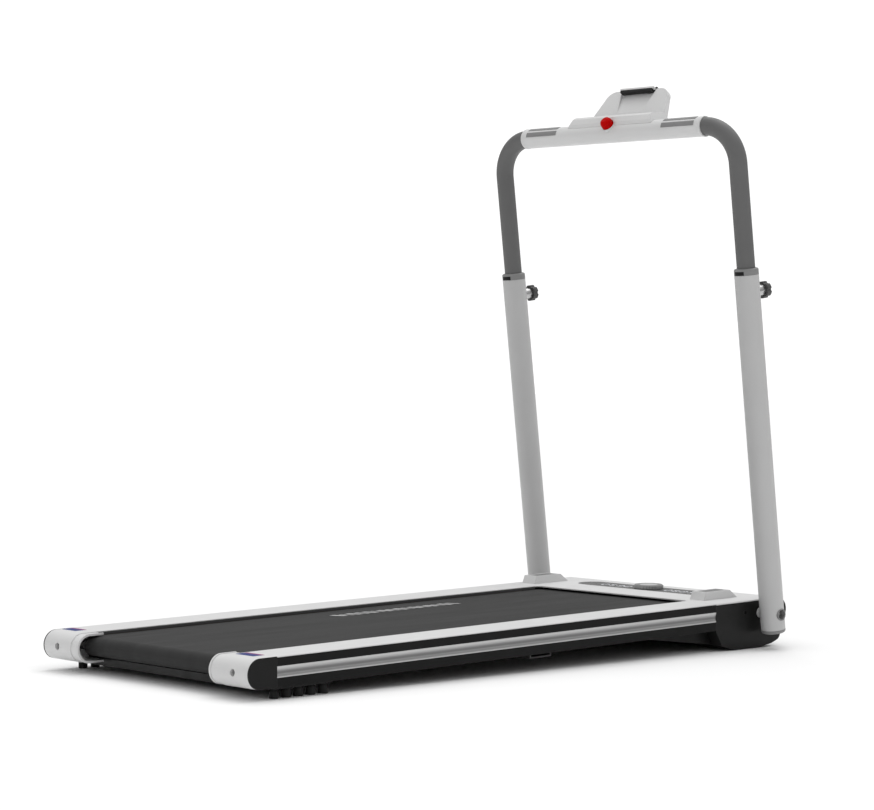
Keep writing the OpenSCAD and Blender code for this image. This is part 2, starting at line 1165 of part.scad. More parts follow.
// one leg, one bend and half the crossbar
module grip_half(radius, overrun) {
    straight_top = bar_height - bend_radius;
    translate([post_offset, 0, grip_bottom - overrun])
        cylinder(h = straight_top - grip_bottom + overrun, r = radius);
    translate([post_offset - bend_radius, 0, straight_top])
        rotate([90, 0, 0])
            rotate_extrude(angle = 90)
                translate([bend_radius, 0])
                    circle(radius);
    rod_x([0, bar_height], radius, 0, post_offset - bend_radius);
}

module grip_tube() {
    hole_pitch = 40;
    color("#626467")
        on_pivot()
            difference() {
                both_sides()
                    grip_half(grip_radius, 0);
                both_sides()
                    grip_half(grip_radius - grip_wall, 1);
                // height holes that the lock pins drop into
                both_sides()
                    for (i = [-2 : 3])
                        translate([post_offset, 0, knob_z + i * hole_pitch])
                            rotate([-90, 0, 0])
                                cylinder(h = 30, r = 4.5);
            }
}

module handlebar_sleeve() {
    color("#dfe0e1")
        on_pivot()
            difference() {
                rod_x([0, bar_height], sleeve_radius, -sleeve_half, sleeve_half);
                rod_x([0, bar_height], grip_radius, -sleeve_half - 1, sleeve_half + 1);
            }
}

// thin curved contact plates on the sleeve, two at each end
module pulse_sensors() {
    inner = 150;
    outer = 238;
    plate = 0.8;
    span = 28;
    color("#8f9194")
        on_pivot()
            both_sides()
                for (lower_edge = [13, 57])
                    translate([inner, 0, bar_height])
                        rotate([270 - lower_edge - span, 0, 0])
                            rotate([0, 90, 0])
                                rotate_extrude(angle = span)
                                    translate([sleeve_radius, 0])
                                        square([plate, outer - inner]);
}

// ---- handlebar console ----

// low console on top of the bar, with sloping ends and two hinge lugs
module holder_base() {
    half_length = 121;
    color("#d8dadb") {
        on_pivot()
            translate([0, 0, bar_height])
                difference() {
                    along_x(-half_length, half_length)
                        polygon([
                            [-15, 12],
                            [-11, 24],
                            [-4, 34],
                            [2, 37],
                            [8, 37.5],
                            [40, 34.5],
                            [44, 30],
                            [44, 20],
                            [18, 10]
                        ]);
                    rod_x([0, 0], sleeve_radius, -half_length - 1, half_length + 1);
                    for (side = [-1, 1])
                        translate([side * half_length, 0, 12])
                            rotate([0, side * -25, 0])
                                translate([side * 25, 0, 20])
                                    cube([50, 200, 80], center = true);
                    // room for the safety key and its socket
                    rotate([90 - key_angle, 0, 0])
                        translate([0, 0, 15])
                            cylinder(h = 75, r = 14.3);
                }
        on_plate()
            both_sides() {
                rod_x(hinge_in_plate, 5, hinge_half + 0.3, hinge_half + hinge_lug);
                rod_x(hinge_in_plate, 2.5, hinge_half - 8, hinge_half + 1);
                // web that carries the lug from the console
                translate([0, hinge_in_plate[0], hinge_in_plate[1]])
                    rotate([holder_lean, 0, 0])
                        block([hinge_half + 1.3, -11, -3.5], [hinge_half + hinge_lug - 1, 0, 2]);
            }
    }
}

// in the plate's own frame: x across, y out of its back, z up its slope
module on_plate() {
    on_pivot()
        translate([0, holder_corner[0], bar_height + holder_corner[1]])
            rotate([-holder_lean, 0, 0])
                children();
}

module plate_outline() {
    polygon([[-103, 3], [103, 3], [87, 54], [-87, 54]]);
    translate([-62, 3])
        square([124, plate_length - 3]);
    for (side = [-1, 1])
        translate([side * 62, plate_length - 26])
            circle(26);
}

module holder_plate() {
    color("#d8dadb")
        on_plate()
            difference() {
                union() {
                    translate([0, plate_thickness, 0])
                        rotate([90, 0, 0])
                            linear_extrude(plate_thickness)
                                plate_outline();
                    rod_x(hinge_in_plate, 5, -hinge_half, hinge_half);
                }
                both_sides() {
                    rod_x(hinge_in_plate, 2.5 + running_fit, hinge_half - 8.3, hinge_half + 1);
                    block([hinge_half, -1, -6], [hinge_half + hinge_lug + 0.5, plate_thickness + 1, 9]);
                }
                clamp_pocket();
                // slot for the clamp's slider, and its way through the pocket's floor
                block([-20.4, 9, 38], [20.4, 12, plate_length + 1]);
                block([-20.4, 7, jaw_bottom - 0.4], [20.4, 12, plate_length + 1]);
            }
}

// pocket that deepens and widens towards the top
module clamp_pocket() {
    top = plate_length + 1;
    intersection() {
        along_x(-60, 60)
            polygon([[-1, 12], [0, 14], [8, top], [-1, top]]);
        along_y(-2, 12)
            polygon([[-34, 12], [34, 12], [50, top], [-50, top]]);
    }
}

// sprung jaw that grips a phone from above, on a flat slider
module phone_clamp() {
    color("#cfd1d2")
        on_plate() {
            block([-20, 9.2, 40], [20, 11.6, plate_length]);
            block([-20, 6, jaw_bottom], [20, 11.6, plate_length]);
            block([-47, -9, jaw_bottom], [47, 7, plate_length]);
        }
}

module key_frame() {
    on_pivot()
        translate([0, 0, bar_height])
            rotate([90 - key_angle, 0, 0])
                children();
}

module key_socket() {
    color("#3a3b3d")
        key_frame()
            difference() {
                cylinder(h = 23, r = 14);
                translate([0, 0, 21.8])
                    cylinder(h = 3, r = 12.9);
                rotate([0, 90, 0])
                    cylinder(h = 60, r = sleeve_radius, center = true);
            }
}

// magnetic safety key
module safety_key() {
    color("#d0110f")
        key_frame()
            rotate_extrude()
                polygon([[0, 22.1], [12.6, 22.1], [12.6, 34], [10.5, 38], [6, 40], [0, 40]]);
}

// ---- choose what to draw ----

side_rail_left();
side_rail_right();
rail_trim_left();
rail_trim_right();
rail_stripes();
deck_board();
deck_cushions();
rear_cross_tube();
mid_cross_member();
front_frame();
rear_cap_left();
rear_cap_right();
rear_cap_plate_left();
rear_cap_plate_right();
rear_pads_left();
rear_pads_right();
adjuster_bolts();
running_belt();
rear_roller();
rear_axle();
front_roller();
front_axle();
front_housing();
belly_pan();
motor_cover();
speaker_grille_left();
speaker_grille_right();
speaker_drivers();
display_lens();
display_board();
motor_can();
motor_rotor();
motor_bracket();
drive_belt();
control_board();
power_inlet();
power_switch();
pivot_bolts();
pivot_spacers();
front_feet();
transport_wheel_left();
transport_wheel_right();
housing_screws();
speed_dial();
lower_post_left();
lower_post_right();
post_foot_left();
post_foot_right();
post_collars();
knob_bosses();
lock_knob_left();
lock_knob_right();
grip_tube();
handlebar_sleeve();
pulse_sensors();
holder_base();
holder_plate();
phone_clamp();
key_socket();
safety_key();
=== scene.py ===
"""Studio scene of a folding walking treadmill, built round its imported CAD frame."""

import json
import math

import bmesh
import bpy
from mathutils import Matrix, Vector


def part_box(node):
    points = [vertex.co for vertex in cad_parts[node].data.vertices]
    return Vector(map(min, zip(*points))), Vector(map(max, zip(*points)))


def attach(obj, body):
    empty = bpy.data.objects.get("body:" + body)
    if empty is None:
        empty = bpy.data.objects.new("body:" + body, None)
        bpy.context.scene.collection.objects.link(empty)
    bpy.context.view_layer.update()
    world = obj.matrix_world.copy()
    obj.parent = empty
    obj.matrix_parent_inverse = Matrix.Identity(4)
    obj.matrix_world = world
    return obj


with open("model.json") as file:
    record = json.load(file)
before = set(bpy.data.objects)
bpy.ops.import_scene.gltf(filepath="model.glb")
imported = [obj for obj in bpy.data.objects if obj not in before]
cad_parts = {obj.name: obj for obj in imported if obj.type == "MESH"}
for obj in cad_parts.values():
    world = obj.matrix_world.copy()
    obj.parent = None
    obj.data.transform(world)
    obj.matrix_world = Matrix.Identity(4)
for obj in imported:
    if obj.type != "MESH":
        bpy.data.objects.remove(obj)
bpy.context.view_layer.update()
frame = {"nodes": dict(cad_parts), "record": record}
nodes = frame["nodes"]

# ---- frames of reference, read from the CAD ----

TRIM_REAR = 0.062
TRIM_FRONT = 1.243
TRIM_THICKNESS = 0.0015
FOLD_PIVOT = (0, 1.3853, -0.0281)
POST_LEAN = math.radians(7)
BAR_HEIGHT = 1.0166
HOLDER_HINGE = (0, 0.046, 0.029)
HOLDER_LEAN = math.radians(-40)
FACE_MIDDLE = (0, 1.46119, -0.05829)
FACE_TILT = math.radians(-112.755)

trim_low, trim_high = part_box("rail_trim_right")
incline = math.atan2(
    trim_high.z - trim_low.z - TRIM_THICKNESS,
    trim_high.y - trim_low.y,
)
# deck frame: x across, y forward from the end caps, z up from the foot rails
deck_origin = Vector((
    0,
    trim_low.y - TRIM_REAR * math.cos(incline),
    trim_high.z - TRIM_FRONT * math.sin(incline),
))
DECK = Matrix.Translation(deck_origin) @ Matrix.Rotation(incline, 4, "X")
# handrail frame: origin on the fold pivot, z up along the posts
PIVOT = DECK @ Matrix.Translation(FOLD_PIVOT) @ Matrix.Rotation(POST_LEAN, 4, "X")
BAR = PIVOT @ Matrix.Translation((0, 0, BAR_HEIGHT))
# phone holder's frame: y out of its back, z up its slope
PLATE = BAR @ Matrix.Translation(HOLDER_HINGE) @ Matrix.Rotation(HOLDER_LEAN, 4, "X")
# housing's front face: z out of the face
FACE = DECK @ Matrix.Translation(FACE_MIDDLE) @ Matrix.Rotation(FACE_TILT, 4, "X")


# ---- material helpers ----

LENGTHWISE = (60, 1, 60)


def add_node(tree, kind, settings=None, **inputs):
    """Adds a shader node. Inputs are sockets to link or values to set.

    An input is given by its name, with _ for a space, or by its number, as i0.
    """
    node = tree.nodes.new("ShaderNode" + kind)
    for key, value in (settings or {}).items():
        setattr(node, key, value)
    for key, value in inputs.items():
        numbered = key[0] == "i" and key[1:].isdigit()
        socket = node.inputs[int(key[1:]) if numbered else key.replace("_", " ")]
        if isinstance(value, bpy.types.NodeSocket):
            tree.links.new(value, socket)
        else:
            socket.default_value = value
    return node


def grey(level):
    return (level, level, level, 1)


def mix_colour(tree, factor, first, second):
    node = tree.nodes.new("ShaderNodeMix")
    node.data_type = "RGBA"
    for socket, value in ((node.inputs[0], factor), (node.inputs[6], first), (node.inputs[7], second)):
        if isinstance(value, bpy.types.NodeSocket):
            tree.links.new(value, socket)
        else:
            socket.default_value = value
    return node.outputs[2]


def remap(tree, value, from_low, from_high, to_low, to_high):
    return add_node(
        tree, "MapRange",
        Value=value, From_Min=from_low, From_Max=from_high, To_Min=to_low, To_Max=to_high,
    ).outputs["Result"]


def math_node(tree, operation, first, second=0.0):
    return add_node(tree, "Math", {"operation": operation}, i0=first, i1=second).outputs[0]


def place(tree, stretch=(1, 1, 1)):
    """Coordinates that stay with the part, scaled on each axis."""
    coords = add_node(tree, "TexCoord").outputs["Object"]
    return add_node(tree, "Mapping", Vector=coords, Scale=stretch).outputs["Vector"]


def noise(tree, scale, detail=2.0, stretch=(1, 1, 1)):
    return add_node(
        tree, "TexNoise", Vector=place(tree, stretch), Scale=scale, Detail=detail,
    ).outputs["Fac"]


def edge_mask(tree, radius):
    """1 on the corners that hands and shoes rub, 0 on open faces."""
    soft = add_node(tree, "Bevel", {"samples": 4}, Radius=radius).outputs["Normal"]
    flat = add_node(tree, "NewGeometry").outputs["Normal"]
    along = add_node(tree, "VectorMath", {"operation": "DOT_PRODUCT"}, i0=soft, i1=flat).outputs["Value"]
    return remap(tree, along, 0.99, 0.8, 0.0, 1.0)


def new_material(name):
    material = bpy.data.materials.new(name)
    material.use_nodes = True
    tree = material.node_tree
    return material, tree, tree.nodes["Principled BSDF"]


def finish_material(
    name, colour, *, shade=0.9, roughness=(0.4, 0.55), grain=(900, 0.00003), stretch=(1, 1, 1),
    metallic=0.0, specular=0.4, worn=None, edge=0.0012, mottle=9.0,
):
    """A painted, moulded or machined surface: mottled colour, uneven gloss, fine grain, rubbed edges."""
    material, tree, shader = new_material(name)
    dark = tuple(c * shade for c in colour[:3]) + (1,)
    base = mix_colour(tree, remap(tree, noise(tree, mottle, 3), 0.3, 0.7, 0, 1), dark, colour)
    smudge = noise(tree, 38, 4, stretch)
    if worn is not None:
        patchy = remap(tree, noise(tree, 60, 3), 0.4, 0.65, 0.1, 1)
        rubbed = math_node(tree, "MULTIPLY", edge_mask(tree, edge), patchy)
        base = mix_colour(tree, rubbed, base, worn)
    shader.inputs["Metallic"].default_value = metallic
    shader.inputs["Specular IOR Level"].default_value = specular
    tree.links.new(base, shader.inputs["Base Color"])
    tree.links.new(remap(tree, smudge, 0.3, 0.7, *roughness), shader.inputs["Roughness"])
    rounded = add_node(tree, "Bevel", {"samples": 4}, Radius=edge).outputs["Normal"]
    relief = add_node(
        tree, "Bump",
        Strength=1.0, Distance=grain[1], Height=noise(tree, grain[0], 2, stretch), Normal=rounded,
    )
    tree.links.new(relief.outputs["Normal"], shader.inputs["Normal"])
    return material


def belt_material():
    """Rubber running belt: crossed ribs, scuffed lengthwise where feet land."""
    material, tree, shader = new_material("belt_rubber")
    coords = add_node(tree, "TexCoord").outputs["Object"]
    pitch = 0.0032
    axes = add_node(tree, "SeparateXYZ", Vector=coords)
    across, along = axes.outputs["X"], axes.outputs["Y"]
    ribs = []
    for combine in ("ADD", "SUBTRACT"):
        diagonal = math_node(tree, combine, across, along)
        turns = math_node(tree, "MULTIPLY", diagonal, 2 * math.pi / pitch)
        ribs.append(math_node(tree, "SINE", turns))
    weave = math_node(tree, "MULTIPLY", ribs[0], ribs[1])
    scuff = remap(tree, noise(tree, 7, 5, (6, 0.6, 1)), 0.3, 0.8, 0, 1)
    base = mix_colour(tree, scuff, grey(0.034), grey(0.039))
    base = mix_colour(tree, remap(tree, weave, -1, 1, 0.0, 0.35), base, grey(0.025))
    tree.links.new(base, shader.inputs["Base Color"])
    tree.links.new(remap(tree, scuff, 0, 1, 0.72, 0.64), shader.inputs["Roughness"])
    shader.inputs["Specular IOR Level"].default_value = 0.15
    fine = noise(tree, 1600, 2)
    height = math_node(tree, "ADD", weave, math_node(tree, "MULTIPLY", fine, 0.8))
    relief = add_node(tree, "Bump", Strength=0.6, Distance=0.00012, Height=height)
    tree.links.new(relief.outputs["Normal"], shader.inputs["Normal"])
    return material


def wood_material():
    """Pressed deck board: a fibre core with long flakes."""
    material, tree, shader = new_material("deck_wood")
    dark_fibre = (0.19, 0.11, 0.06, 1)
    light_fibre = (0.33, 0.21, 0.12, 1)
    flakes = noise(tree, 60, 6, (8, 1, 12))
    base = mix_colour(tree, remap(tree, flakes, 0.35, 0.65, 0, 1), dark_fibre, light_fibre)
    tree.links.new(base, shader.inputs["Base Color"])
    tree.links.new(remap(tree, flakes, 0.3, 0.7, 0.55, 0.75), shader.inputs["Roughness"])
    relief = add_node(tree, "Bump", Strength=0.6, Distance=0.0002, Height=flakes)
    tree.links.new(relief.outputs["Normal"], shader.inputs["Normal"])
    return material


# height of the middle of the trim's painted reflection band, in the deck frame
PAINTED_REFLECTION_MIDDLE = -0.028


def stripe_material():
    """Brushed strip with a painted reflection: a darker band along its middle, lighter towards its top and
    bottom edges.
    """
    material, tree, shader = new_material("silver_trim")
    coords = add_node(tree, "TexCoord").outputs["Object"]
    middle = DECK @ Vector((0, 0, PAINTED_REFLECTION_MIDDLE))
    offset = add_node(tree, "VectorMath", {"operation": "SUBTRACT"}, i0=coords, i1=middle).outputs["Vector"]
    up = DECK.to_3x3() @ Vector((0, 0, 1))
    height = add_node(tree, "VectorMath", {"operation": "DOT_PRODUCT"}, i0=offset, i1=up).outputs["Value"]
    from_reflection_middle = math_node(tree, "ABSOLUTE", height)
    lines = noise(tree, 300, 2, LENGTHWISE)
    brushed = mix_colour(tree, remap(tree, lines, 0.3, 0.7, 0, 1), grey(0.9), grey(1.0))
    # painted reflection: the strip is darker across its middle and lighter towards its top and bottom edges
    painted_reflection_band = mix_colour(tree, remap(tree, from_reflection_middle, 0.001, 0.009, 0, 1), grey(0.20), grey(0.58))
    tint = add_node(tree, "VectorMath", {"operation": "MULTIPLY"}, i0=painted_reflection_band, i1=brushed).outputs["Vector"]
    tree.links.new(tint, shader.inputs["Base Color"])
    shader.inputs["Metallic"].default_value = 1.0
    tree.links.new(remap(tree, lines, 0.3, 0.7, 0.32, 0.44), shader.inputs["Roughness"])
    relief = add_node(tree, "Bump", Strength=0.6, Distance=0.00001, Height=lines)
    tree.links.new(relief.outputs["Normal"], shader.inputs["Normal"])
    return material


def circuit_material():
    """Printed circuit: green mask with rows of tracks."""
    material, tree, shader = new_material("board_green")
    tracks = add_node(
        tree, "TexBrick",
        Vector=place(tree), Scale=160.0, Mortar_Size=0.03, Color1=grey(0.0), Color2=grey(0.3), Mortar=grey(1.0),
    ).outputs["Color"]
    base = mix_colour(tree, tracks, (0.015, 0.09, 0.04, 1), (0.05, 0.24, 0.10, 1))
    tree.links.new(base, shader.inputs["Base Color"])
    tree.links.new(remap(tree, noise(tree, 80, 3), 0.3, 0.7, 0.25, 0.45), shader.inputs["Roughness"])
    relief = add_node(tree, "Bump", Strength=0.5, Distance=0.00008, Height=tracks)
    tree.links.new(relief.outputs["Normal"], shader.inputs["Normal"])
    return material


def light_material():
    """Lit display segments, a little uneven from lamp to lamp."""
    material, tree, shader = new_material("display_light")
    lamps = remap(tree, noise(tree, 120, 2), 0.3, 0.7, 0.0, 1.0)
    tree.links.new(mix_colour(tree, lamps, (0.72, 0.74, 0.80, 1), grey(0.92)), shader.inputs["Base Color"])
    tree.links.new(remap(tree, lamps, 0, 1, 0.3, 0.45), shader.inputs["Roughness"])
    shader.inputs["Emission Color"].default_value = (0.85, 0.88, 1.0, 1)
    shader.inputs["Emission Strength"].default_value = 0.12
    return material


def label_material(name, field, accent):
    """Printed film label: a coloured field that shifts from one end to the other."""
    material, tree, shader = new_material(name)
    axes = add_node(tree, "SeparateXYZ", Vector=add_node(tree, "TexCoord").outputs["Generated"])
    shift = remap(tree, axes.outputs["Y"], 0.62, 0.9, 0, 1)
    print_dots = remap(tree, noise(tree, 2500, 1), 0.3, 0.7, 0.0, 0.06)
    base = mix_colour(tree, print_dots, mix_colour(tree, shift, field, accent), grey(0.5))
    shader.inputs["Specular IOR Level"].default_value = 0.05
    tree.links.new(base, shader.inputs["Base Color"])
    tree.links.new(remap(tree, noise(tree, 90, 3), 0.3, 0.7, 0.3, 0.42), shader.inputs["Roughness"])
    relief = add_node(tree, "Bump", Strength=0.3, Distance=0.00005, Height=noise(tree, 300, 2))
    tree.links.new(relief.outputs["Normal"], shader.inputs["Normal"])
    return material


MATERIALS = {
    "rail_black": finish_material(
        "rail_black", grey(0.010), specular=0.1, roughness=(0.42, 0.56),
        grain=(700, 0.00004), worn=grey(0.06)),
    "white_plastic": finish_material(
        "white_plastic", grey(0.69), shade=0.965, roughness=(0.38, 0.5),
        grain=(1100, 0.00003), worn=grey(0.80)),
    "silver_trim": stripe_material(),
    "deck_wood": wood_material(),
    "rubber": finish_material(
        "rubber", grey(0.012), roughness=(0.7, 0.85), grain=(500, 0.00008), worn=grey(0.05)),
    "belt_rubber": belt_material(),
    "frame_paint": finish_material(
        "frame_paint", grey(0.03), specular=0.25, roughness=(0.35, 0.5),
        grain=(420, 0.00005), worn=grey(0.2)),
    "black_oxide": finish_material(
        "black_oxide", grey(0.012), specular=0.2, roughness=(0.35, 0.5),
        grain=(900, 0.00003), worn=grey(0.12)),
    "dark_plastic": finish_material(
        "dark_plastic", grey(0.075), specular=0.25, roughness=(0.4, 0.55),
        grain=(800, 0.00005), worn=grey(0.12)),
    "steel": finish_material(
        "steel", grey(0.52), roughness=(0.24, 0.4), grain=(900, 0.00002), metallic=1.0, worn=grey(0.75)),
    "black_plastic": finish_material(
        "black_plastic", grey(0.010), specular=0.15, roughness=(0.36, 0.5),
        grain=(900, 0.00005), worn=grey(0.06)),
    "grey_plastic": finish_material(
        "grey_plastic", grey(0.24), roughness=(0.38, 0.52), grain=(900, 0.00004), worn=grey(0.34)),
    "lens": finish_material(
        "lens", grey(0.115), specular=0.2, roughness=(0.22, 0.34), grain=(60, 0.00001), edge=0.0006),
    "board_green": circuit_material(),
    "post_paint": finish_material(
        "post_paint", grey(0.53), shade=0.96, roughness=(0.36, 0.5), grain=(380, 0.00004), worn=grey(0.55)),
    "grip_paint": finish_material(
        "grip_paint", grey(0.135), shade=0.92, roughness=(0.46, 0.6), grain=(520, 0.00006), worn=grey(0.2)),
    "wheel_rubber": finish_material(
        "wheel_rubber", grey(0.02), roughness=(0.6, 0.75), grain=(450, 0.00008), worn=grey(0.08)),
    "red_plastic": finish_material(
        "red_plastic", (0.58, 0.0012, 0.0012, 1), shade=0.8, specular=0.03, roughness=(0.3, 0.42),
        grain=(900, 0.00002), worn=(0.70, 0.02, 0.02, 1)),
    "copper": finish_material(
        "copper", (0.62, 0.27, 0.12, 1), roughness=(0.28, 0.42), grain=(260, 0.0001), stretch=LENGTHWISE,
        metallic=1.0),
}

for part in frame["record"]["subparts"]:
    for holder in nodes[part["node"]].material_slots:
        holder.material = MATERIALS[part["material_slot"]]


# ---- floor, light and camera ----

def studio_floor():
    half = 30.0
    mesh = bpy.data.meshes.new("floor")
    corners = [(-half, -half, 0), (half, -half, 0), (half, half, 0), (-half, half, 0)]
    mesh.from_pydata(corners, [], [(0, 1, 2, 3)])
    floor = bpy.data.objects.new("floor", mesh)
    bpy.context.collection.objects.link(floor)
    material, tree, shader = new_material("studio_floor")
    tint = remap(tree, noise(tree, 0.6, 2), 0.3, 0.7, 0.0, 1.0)
    tree.links.new(mix_colour(tree, tint, grey(0.94), grey(0.96)), shader.inputs["Base Color"])
    tree.links.new(remap(tree, noise(tree, 2.0, 3), 0.3, 0.7, 0.8, 0.95), shader.inputs["Roughness"])
    mesh.materials.append(material)


def studio_light():
    """White dome, brighter overhead, and a broad soft lamp from above the far side."""
    world = bpy.data.worlds.new("studio")
    bpy.context.scene.world = world
    world.use_nodes = True
    tree = world.node_tree
    background = tree.nodes["Background"]
    background.inputs["Color"].default_value = grey(1.0)
    direction = add_node(tree, "SeparateXYZ", Vector=add_node(tree, "TexCoord").outputs["Generated"])
    overhead = remap(tree, direction.outputs["Z"], 0.0, 1.0, 0.2, 1.15)
    seen = add_node(tree, "LightPath").outputs["Is Camera Ray"]
    backdrop = 1.1
    strength = add_node(tree, "Mix", i0=seen, i2=overhead, i3=backdrop).outputs[0]
    tree.links.new(strength, background.inputs["Strength"])
    sun = bpy.data.lights.new("soft_key", "SUN")
    sun.energy = 1.0
    sun.angle = math.radians(50)
    lamp = bpy.data.objects.new("soft_key", sun)
    bpy.context.collection.objects.link(lamp)
    lamp.rotation_euler = Vector((-0.15, 0.45, 1.0)).to_track_quat("Z", "Y").to_euler()


CAMERA_PLACE = (3.6681, -2.8109, 0.5737)
# azimuth, elevation and roll in degrees
CAMERA_AIM = (45.949, 1.794, -0.08)


def studio_camera():
    data = bpy.data.cameras.new("camera")
    data.sensor_width = 36.0
    data.lens = 105.55
    data.clip_end = 200.0
    camera = bpy.data.objects.new("camera", data)
    bpy.context.collection.objects.link(camera)
    azimuth, elevation, roll = (math.radians(angle) for angle in CAMERA_AIM)
    back = Vector((
        math.sin(azimuth) * math.cos(elevation),
        -math.cos(azimuth) * math.cos(elevation),
        math.sin(elevation),
    ))
    # the view was taken square to the deck, so it is set in the deck's frame
    facing = back.to_track_quat("Z", "Y").to_matrix().to_4x4() @ Matrix.Rotation(roll, 4, "Z")
    camera.matrix_world = DECK @ Matrix.Translation(CAMERA_PLACE) @ facing
    bpy.context.scene.camera = camera


studio_floor()
studio_light()
studio_camera()
bpy.context.scene.view_settings.view_transform = "Standard"


# ---- mesh helpers ----

def new_piece(name, bm, body, slot, matrix, material=None):
    """Turns a bmesh, drawn in the given frame, into a named piece that rides on a CAD body."""
    mesh = bpy.data.meshes.new(name)
    bmesh.ops.transform(bm, matrix=matrix, verts=bm.verts)
    bmesh.ops.recalc_face_normals(bm, faces=bm.faces)
    bm.to_mesh(mesh)
    bm.free()
    piece = bpy.data.objects.new(name, mesh)
    bpy.context.collection.objects.link(piece)
    mesh.materials.append(material or MATERIALS[slot])
    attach(piece, body)


def join_rings(bm, lower, upper):
    for i, vert in enumerate(lower):
        after = (i + 1) % len(lower)
        bm.faces.new((vert, lower[after], upper[after], upper[i]))


def rounded_outline(size, radius, centre=(0, 0), steps=4):
    """Points round a rounded rectangle, anticlockwise."""
    points = []
    for quarter, (side_x, side_y) in enumerate(((1, 1), (-1, 1), (-1, -1), (1, -1))):
        corner_x = centre[0] + side_x * (size[0] / 2 - radius)
        corner_y = centre[1] + side_y * (size[1] / 2 - radius)
        for step in range(steps + 1):
            angle = math.pi / 2 * (quarter + step / steps)
            points.append((corner_x + radius * math.cos(angle), corner_y + radius * math.sin(angle)))
    return points


def add_prism(bm, outline, low, high, soften, matrix=Matrix()):
    """Raises an outline from low to high, with its upper edge chamfered by soften."""
    xs, ys = zip(*outline)
    middle_x, middle_y = (min(xs) + max(xs)) / 2, (min(ys) + max(ys)) / 2
    inset_x = 1 - 2 * soften / (max(xs) - min(xs))
    inset_y = 1 - 2 * soften / (max(ys) - min(ys))
    rings = []
    for height, scale_x, scale_y in ((low, 1, 1), (high - soften, 1, 1), (high, inset_x, inset_y)):
        rings.append([
            bm.verts.new(matrix @ Vector((
                middle_x + (x - middle_x) * scale_x,
                middle_y + (y - middle_y) * scale_y,
                height,
            )))
            for x, y in outline
        ])
    for lower, upper in zip(rings, rings[1:]):
        join_rings(bm, lower, upper)
    bm.faces.new(rings[0])
    bm.faces.new(rings[-1])


def add_lathe(bm, profile, matrix=Matrix(), ring=False, steps=48):
    """Turns (radius, height) points about Z. A ring joins its last point to its first."""
    rings = []
    for radius, height in profile:
        rings.append([
            bm.verts.new(matrix @ Vector((
                radius * math.cos(math.tau * i / steps),
                radius * math.sin(math.tau * i / steps),
                height,
            )))
            for i in range(steps)
        ])
    for lower, upper in zip(rings, rings[1:]):
        join_rings(bm, lower, upper)
    if ring:
        join_rings(bm, rings[-1], rings[0])
    else:
        bm.faces.new(rings[0])
        bm.faces.new(rings[-1])


def add_arc_plate(bm, radius, thickness, span, low, high, matrix, steps=16):
    """A thin plate bent round Z, centred on -Y, with chamfered outer edges."""
    soften = thickness / 2
    section = (
        (radius, low),
        (radius + thickness - soften, low),
        (radius + thickness, low + soften),
        (radius + thickness, high - soften),
        (radius + thickness - soften, high),
        (radius, high),
    )
    slices = []
    for i in range(steps + 1):
        angle = -math.pi / 2 + span * (i / steps - 0.5)
        slices.append([
            bm.verts.new(matrix @ Vector((r * math.cos(angle), r * math.sin(angle), z))) for r, z in section
        ])
    for first, second in zip(slices, slices[1:]):
        join_rings(bm, first, second)
    bm.faces.new(slices[0])
    bm.faces.new(slices[-1])


ALONG_X = Matrix.Rotation(math.radians(90), 4, "Y")
ALONG_Y = Matrix.Rotation(math.radians(-90), 4, "X")


def at(x, y, z):
    return Matrix.Translation((x, y, z))


# ---- deck details ----

RAIL_INNER = 0.215
BELT_TOP = -0.0072
RAIL_BOTTOM = -0.055
MEMBER_BOTTOM = -0.062
SCREW_OFFSET = 0.275
RAIL_SCREWS = (0.260, 0.480, 0.940, 1.030)
MEMBER_SCREWS = (0.706, 0.742)

PRINT = finish_material(
    "belt_print", grey(0.55), roughness=(0.55, 0.7), grain=(700, 0.00003), mottle=60)
GUARD = finish_material(
    "belt_guard", grey(0.075), specular=0.15, roughness=(0.5, 0.6), grain=(700, 0.00004), worn=grey(0.16))
BLUE_LABEL = label_material("label_blue", (0.008, 0.028, 0.19, 1), (0.30, 0.03, 0.16, 1))
LIGHTS = light_material()


def belt_mark():
    """A row of thin slanted bars printed along the belt."""
    bm = bmesh.new()
    left, right, slant = -0.153, -0.127, 0.016
    y = 0.585
    for length in (0.012, 0.005, 0.012, 0.008) * 4:
        outline = [(left, y), (right, y + slant), (right, y + slant + length), (left, y + length)]
        add_prism(bm, outline, BELT_TOP - 0.0001, BELT_TOP + 0.0002, 0.0001)
        y += length + 0.012
    new_piece("belt_mark", bm, "deck", "white_plastic", DECK, PRINT)


def cap_labels():
    for name, low, high in (("cap_label_left", -0.294, -0.250), ("cap_label_right", 0.219, 0.268)):
        bm = bmesh.new()
        outline = rounded_outline((high - low, 0.027), 0.002, ((low + high) / 2, 0.048))
        add_prism(bm, outline, -0.0001, 0.0002, 0.0001)
        new_piece(name, bm, "deck", "white_plastic", DECK, BLUE_LABEL)


def belt_guards():
    """Thin dark strips that close the gap between the foot rails and the belt."""
    length = TRIM_FRONT - TRIM_REAR
    for name, side in (("belt_guard_left", -1), ("belt_guard_right", 1)):
        bm = bmesh.new()
        outline = rounded_outline((0.0009, 0.0054), 0.0003, (side * (RAIL_INNER - 0.0005), -0.0042))
        turned = at(0, TRIM_REAR, 0) @ ALONG_Y @ Matrix.Scale(-1, 4, (0, 1, 0))
        add_prism(bm, outline, 0, length, 0.0002, turned)
        new_piece(name, bm, "deck", "black_plastic", DECK, GUARD)


